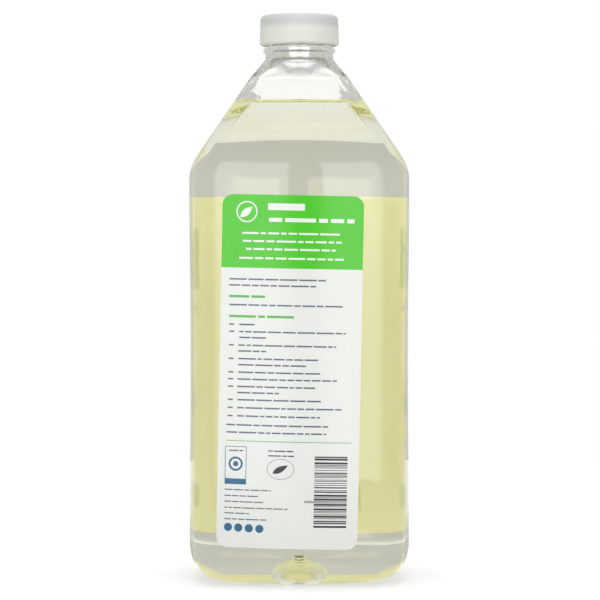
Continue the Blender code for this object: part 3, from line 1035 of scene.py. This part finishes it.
def front_print():
    """A plain generic front: green title fields, leaves and dashes on a soft yellow ground."""
    rng = random.Random(11)
    height = FRONT.height
    middle = FRONT.width / 2

    def lines(printed, rows):
        for share, reach, size in rows:
            printed.lines([(share * height, middle - reach, middle + reach)], size, rng)

    title = Print(FRONT)
    for top, bottom in FRONT_FIELDS:
        title.bar(middle - FRONT_FIELD_REACH, middle + FRONT_FIELD_REACH, top * height, bottom * height)
    title.done("front_title", ink("front_green_ink", colour(40, 176, 20), 0.03, FRONT_COVER))

    pale = Print(FRONT, 2)
    lines(pale, FRONT_TITLES)
    pale.done("front_pale", ink("front_pale_ink", colour(250, 252, 244), 0.03, 0.9))

    leaves = Print(FRONT)
    for turn in FRONT_LEAF_TURNS_DEG:
        leaves.leaf(middle, FRONT_LEAVES_DOWN * height, *FRONT_LEAF, turn)
    leaves.done("front_leaves", ink("front_leaf_ink", colour(84, 150, 40), 0.08, FRONT_COVER))

    slate = Print(FRONT)
    lines(slate, FRONT_WORDS)
    slate.done("front_words", ink("front_slate_ink", colour(40, 96, 70), 0.08, FRONT_COVER))


def make_labels():
    """White film on the side of the camera, and yellow film on the far side, whose back shows with a
    painted glow.
    """
    make_film("back_film", BACK, "back_label",
              [film("white_film", colour(238, 240, 236), 0.00005, 0.20),
               film("film_back", colour(226, 228, 222), 0.00005, 0.45)])
    make_film("front_film", FRONT, "front_label",
              [film("yellow_film", colour(254, 247, 150), 0.0012, 0.20),
               # The yellow film's back gets a painted glow, standing in for light that passes through the
               # film from behind
               film("yellow_film_back", colour(255, 247, 174), 0.0012, 0.45, 0.30)])
    back_print()
    front_print()


# Studio

ROOM_LEVEL = 0.58
ROOM_HIGH_LEVEL = 0.40
ROOM_HIGH_START = (20.0, 50.0)

# Soft panels of the room: degrees round from -Y and degrees up, each with a soft start and end
FRONT_PANEL_LEFT = ((3.8, 5.4), (32.5, 39.5))
FRONT_PANEL_RIGHT = ((8.8, 11.0), (31.0, 38.0))
FRONT_PANEL_RISE = ((-14.0, -1.0), (34.0, 44.0))
FRONT_PANEL_LEVEL = 2.75

# Floor: its paint, and the light that it gives to the camera and through the bottle. Seen through the
# bottle and in its gloss it has painted light, a pool under the bottle and more light further behind it,
# and seen through the bottle its paint is darker as painted shade
FLOOR_HALF = 0.5
FLOOR_DROP = 0.0002
FLOOR_TONES = (0.66, 0.68)
FLOOR_TONE_PAINTED_SHADE = 0.58
FLOOR_GLOW = 0.52
BEHIND_PAINTED_LIGHT = 0.35
GLOW_START = (0.12, 0.32)
UNDER_PAINTED_LIGHT = 0.76
UNDER_EDGE = (0.046, 0.056)

# Softbox overhead
TOP_PLACE = (0.0, 0.1, 1.3)
TOP_AIM = (0.0, 0.0, 0.1)
TOP_SIDE = 1.0
TOP_RADIANCE = 1.9

# White card behind the neck, which narrows upwards and fades into the room
CARD_LEVEL = 1.06
CARD_BEHIND = 0.5
CARD_HALF_WIDTH = 0.16
CARD_FOOT = 0.190
CARD_FADE_START = 0.245
CARD_HEAD = 0.440
CARD_EDGE = 0.054
CARD_NECK_EDGE = 0.040
CARD_TAPER = 0.717
CARD_FADE = 0.015


def soft_window(made, value, edges):
    """1 inside a soft-edged range, 0 outside."""
    start, end = edges
    return made.ramp(value, *start) * (1 - made.ramp(value, *end))


def room_level(made):
    """Brightness of the studio by direction: an even room with two soft panels in front."""
    direction = made.node("ShaderNodeTexCoord", output="Generated")
    across, behind, up = [made.axis(direction, letter) for letter in "XYZ"]
    aside = 0 - across
    left = aside.math('ARCTAN2', aside, 0 - behind) * math.degrees(1)
    rise = up.math('ARCSINE', up) * math.degrees(1)
    front = soft_window(made, left, FRONT_PANEL_LEFT) + soft_window(made, 0 - left, FRONT_PANEL_RIGHT)
    front = front * soft_window(made, rise, FRONT_PANEL_RISE)
    room = ROOM_LEVEL - (ROOM_LEVEL - ROOM_HIGH_LEVEL) * made.ramp(rise, *ROOM_HIGH_START)
    return room + (FRONT_PANEL_LEVEL - ROOM_LEVEL) * front


def make_world():
    """White to the eye; to everything else a soft studio."""
    world = bpy.data.worlds.new("studio")
    bpy.context.scene.world = world
    made = Finish(world)
    camera = made.ray("Is Camera Ray")
    seen = camera + (1 - camera) * room_level(made)
    background = made.node("ShaderNodeBackground", {}, {"Color": seen, "Strength": 1.0})
    made.node("ShaderNodeOutputWorld", {}, {"Surface": background})


def make_floor():
    """A pale floor that keeps the shadow, with painted light where the bottle shows it: a pool under the
    bottle, more light further behind, and paint darkened as painted shade.
    """
    made = finish_of("pale_floor")
    camera, glossy, through = [made.ray(kind) for kind in
                               ("Is Camera Ray", "Is Glossy Ray", "Is Transmission Ray")]
    distance = made.node("ShaderNodeVectorMath", {"operation": 'LENGTH'}, {0: made.place()}, "Value")
    seen = glossy.math('MAXIMUM', glossy, through)
    # Painted light, seen through the bottle and in its gloss: growing further behind the bottle, and a pool
    # under it
    away = made.ramp(distance, *GLOW_START) * BEHIND_PAINTED_LIGHT
    painted_pool_under = (1 - made.ramp(distance, *UNDER_EDGE)) * UNDER_PAINTED_LIGHT
    glow = camera * FLOOR_GLOW + (1 - camera) * seen * (away + painted_pool_under)
    dark, light = [grey(tone) for tone in FLOOR_TONES]
    paint = made.mix(made.noise(6.0), dark, light)
    # Painted shade: the paint is darker where it is seen through the bottle
    paint_with_painted_shade = made.mix(through, paint, grey(FLOOR_TONE_PAINTED_SHADE))
    diffuse = made.node("ShaderNodeBsdfDiffuse", {}, {"Color": paint_with_painted_shade})
    glowing = made.node("ShaderNodeEmission", {}, {"Color": glow, "Strength": 1.0})
    both = made.node("ShaderNodeAddShader", {}, {0: diffuse, 1: glowing})
    made.node("ShaderNodeOutputMaterial", {}, {"Surface": both})
    corners = [(-FLOOR_HALF, -FLOOR_HALF), (FLOOR_HALF, -FLOOR_HALF),
               (FLOOR_HALF, FLOOR_HALF), (-FLOOR_HALF, FLOOR_HALF)]
    floor = piece("floor", [(x, y, -FLOOR_DROP) for x, y in corners], [(0, 1, 2, 3)], [made.owner])


def make_softbox():
    """One broad soft light overhead, as bright all over as its radiance says."""
    lamp = bpy.data.lights.new("softbox_top", 'AREA')
    lamp.shape = 'RECTANGLE'
    lamp.size = TOP_SIDE
    lamp.size_y = TOP_SIDE
    lamp.energy = TOP_RADIANCE * math.pi * TOP_SIDE * TOP_SIDE
    thing = bpy.data.objects.new("softbox_top", lamp)
    bpy.context.scene.collection.objects.link(thing)
    thing.location = TOP_PLACE
    thing.rotation_euler = (Vector(TOP_AIM) - Vector(TOP_PLACE)).to_track_quat('-Z', 'Y').to_euler()
    thing.visible_camera = False


def make_card():
    """The white card, which only shows through the bottle and in its gloss."""
    made = finish_of("white_card")
    place = made.place()
    across, height = [made.axis(place, letter) for letter in "XZ"]
    edge = CARD_EDGE - (height - CARD_FOOT) * CARD_TAPER
    edge = edge.math('MAXIMUM', edge, CARD_NECK_EDGE)
    lit = 1 - made.ramp(abs(across), edge - CARD_FADE, edge)
    lit = lit * (1 - made.ramp(height, CARD_FADE_START, CARD_HEAD))
    tone = made.mix(lit, grey(ROOM_LEVEL), grey(CARD_LEVEL))
    glowing = made.node("ShaderNodeEmission", {}, {"Color": tone, "Strength": 1.0})
    made.node("ShaderNodeOutputMaterial", {}, {"Surface": glowing})
    corners = [(-CARD_HALF_WIDTH, CARD_FOOT), (CARD_HALF_WIDTH, CARD_FOOT),
               (CARD_HALF_WIDTH, CARD_HEAD), (-CARD_HALF_WIDTH, CARD_HEAD)]
    card = piece("white_card", [(x, CARD_BEHIND, z) for x, z in corners], [(0, 1, 2, 3)], [made.owner])
    card.visible_camera = False


def make_camera():
    """Level with the photograph's horizon, and tipped down to the middle of its frame."""
    focal_pixels = CAMERA_DISTANCE / METRES_PER_PIXEL
    data = bpy.data.cameras.new("camera")
    data.sensor_width = SENSOR
    data.lens = focal_pixels / FRAME_PIXELS * SENSOR
    data.clip_start = CAMERA_NEAREST
    camera = bpy.data.objects.new("camera", data)
    bpy.context.scene.collection.objects.link(camera)
    tip = math.atan((FRAME_PIXELS / 2 - HORIZON_PIXEL) / focal_pixels)
    aside = (FRAME_PIXELS / 2 - AXIS_PIXEL) * METRES_PER_PIXEL
    camera.location = (aside, -CAMERA_DISTANCE, CAMERA_HEIGHT)
    camera.rotation_euler = (math.radians(90) - tip, 0.0, 0.0)
    bpy.context.scene.camera = camera


scene = bpy.context.scene
scene.view_settings.view_transform = 'Standard'
scene.cycles.max_bounces = GLASS_BOUNCES
scene.cycles.glossy_bounces = GLASS_BOUNCES
scene.cycles.transmission_bounces = GLASS_BOUNCES
make_camera()
make_world()
make_floor()
make_softbox()
make_card()
make_bottle()
make_soap()
make_cap()
dress_liner()
make_labels()
